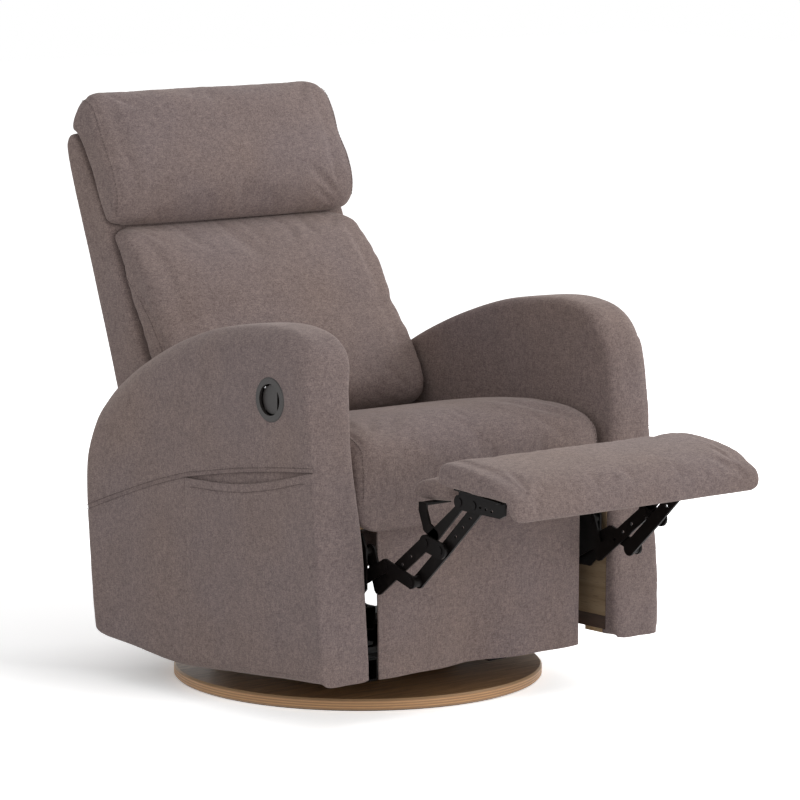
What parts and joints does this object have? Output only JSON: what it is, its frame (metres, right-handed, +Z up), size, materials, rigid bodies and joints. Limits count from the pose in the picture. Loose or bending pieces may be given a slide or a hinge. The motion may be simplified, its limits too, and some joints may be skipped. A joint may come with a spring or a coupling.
{
  "type": "swivel glider recliner",
  "caption": "Upholstered swivel glider recliner on a round wooden base, with a pop-out footrest, reclining back, side pocket and flush release handle.",
  "frame": {"origin": "centre of the base on the floor, on the swivel axis", "axes": "+Z up, -Y towards the footrest (front), +X towards the sitter's left arm; the release handle and side pocket are on the -X arm"},
  "size_m": [0.7825, 1.242, 1.0336],
  "materials": {
    "fabric": "heathered taupe woven upholstery fabric, soft short nap",
    "steel_black": "satin black enamel on pressed steel",
    "zinc": "zinc plated",
    "plastic_black": "fine grained moulded plastic",
    "nylon": "natural nylon",
    "walnut_ply": "walnut veneered plywood, satin lacquer, ply lines on the edge",
    "pine": "raw softwood and plywood",
    "dark_rail": "dark stained rail",
    "felt": "grey needle felt"
  },
  "bodies": {
    "base": {"floor_ring": "plastic_black", "base_disc": "walnut_ply", "swivel_lower_plate": "steel_black", "swivel_thrust_ring": "nylon", "swivel_bolts": "zinc"},
    "turntable": {"swivel_upper_plate": "steel_black", "turntable_rails": "steel_black", "turntable_crossbars": "steel_black", "glide_uprights": "steel_black", "glide_pins_upper": "zinc"},
    "front_glide": {"front_glide_links": "steel_black"},
    "rear_glide": {"rear_glide_links": "steel_black"},
    "front_link": {"front_ottoman_links": "steel_black"},
    "rear_link": {"rear_ottoman_links": "steel_black"},
    "long_bar": {"long_bars": "steel_black"},
    "upper_link": {"upper_links": "steel_black", "flap_straps": "steel_black", "flap_pad": "fabric"},
    "footrest": {"footrest_brackets": "steel_black", "footrest_board": "pine", "footrest_pad": "fabric", "footrest_screws": "zinc"},
    "paddle": {"release_paddle": "plastic_black"},
    "back": {"back_brackets": "steel_black", "back_pivot_bolts": "zinc", "back_posts": "pine", "back_rails": "pine", "back_springs": "steel_black", "back_shell": "fabric", "back_cushion": "fabric", "head_pillow": "fabric"},
    "chassis": {"glide_rails": "steel_black", "glide_hangers": "steel_black", "glide_pins_lower": "zinc", "rail_bolts": "steel_black", "mech_plate_left": "steel_black", "mech_plate_right": "steel_black", "cross_tubes": "steel_black", "linkage_base_pins": "steel_black", "seat_front_rail": "pine", "seat_rear_rail": "pine", "seat_side_rails": "pine", "seat_springs": "steel_black", "seat_felt": "felt", "seat_cushion": "fabric", "rear_apron": "fabric", "arm_pad_left": "fabric", "arm_pad_right": "fabric", "arm_panel_left": "pine", "arm_panel_right": "pine", "arm_posts": "pine", "arm_inner_boards": "pine", "arm_sole_rails": "dark_rail", "arm_bolts": "zinc", "side_pocket": "fabric", "handle_bezel": "plastic_black", "release_cable": "plastic_black", "skirt": "fabric", "paddle_spring": "zinc"}
  },
  "joints": [
    {"name": "swivel", "type": "hinge", "parent": "base", "child": "turntable", "pos_m": [0, 0, 0.04], "axis": [0, 0, 1], "continuous": true},
    {"name": "glide", "type": "hinge", "parent": "turntable", "child": "front_glide", "pos_m": [0, -0.13, 0.183], "axis": [1, 0, 0], "range_deg": [-18, 18]},
    {"name": "rear_glide_pivot", "type": "hinge", "parent": "turntable", "child": "rear_glide", "pos_m": [0, 0.13, 0.183], "axis": [1, 0, 0], "range_deg": [-18, 18]},
    {"name": "body_glide_pivot", "type": "hinge", "parent": "front_glide", "child": "chassis", "pos_m": [0, -0.13, 0.098], "axis": [1, 0, 0], "range_deg": [-18, 18]},
    {"name": "footrest_fold", "type": "hinge", "parent": "chassis", "child": "front_link", "pos_m": [0, -0.338, 0.298], "axis": [1, 0, 0], "range_deg": [0, 125], "deforming": ["skirt"]},
    {"name": "rear_link_pivot", "type": "hinge", "parent": "chassis", "child": "rear_link", "pos_m": [0, -0.277, 0.225], "axis": [1, 0, 0], "range_deg": [0, 126]},
    {"name": "long_bar_pivot", "type": "hinge", "parent": "front_link", "child": "long_bar", "pos_m": [0, -0.516, 0.324], "axis": [1, 0, 0], "range_deg": [-136.75, 0]},
    {"name": "upper_link_pivot", "type": "hinge", "parent": "front_link", "child": "upper_link", "pos_m": [0, -0.48, 0.332], "axis": [1, 0, 0], "range_deg": [-153.25, 0]},
    {"name": "footrest_pivot", "type": "hinge", "parent": "long_bar", "child": "footrest", "pos_m": [0, -0.607, 0.413], "axis": [1, 0, 0], "range_deg": [0, 97.75]},
    {"name": "recline", "type": "hinge", "parent": "chassis", "child": "back", "pos_m": [0, 0.235, 0.352], "axis": [-1, 0, 0], "range_deg": [0, 32]},
    {"name": "release_pull", "type": "hinge", "parent": "chassis", "child": "paddle", "pos_m": [-0.3825, -0.213, 0.558], "axis": [0, 0, -1], "range_deg": [0, 25], "stiffness_Nm_per_rad": 0.08}
  ],
  "couplings": [
    {"joint": "rear_glide_pivot", "follows": "glide", "ratio": 1},
    {"joint": "body_glide_pivot", "follows": "glide", "ratio": -1},
    {"joint": "rear_link_pivot", "follows": "footrest_fold", "ratio": 1.008},
    {"joint": "long_bar_pivot", "follows": "footrest_fold", "ratio": -1.0939},
    {"joint": "upper_link_pivot", "follows": "footrest_fold", "ratio": -1.2255},
    {"joint": "footrest_pivot", "follows": "footrest_fold", "ratio": 0.78192}
  ]
}
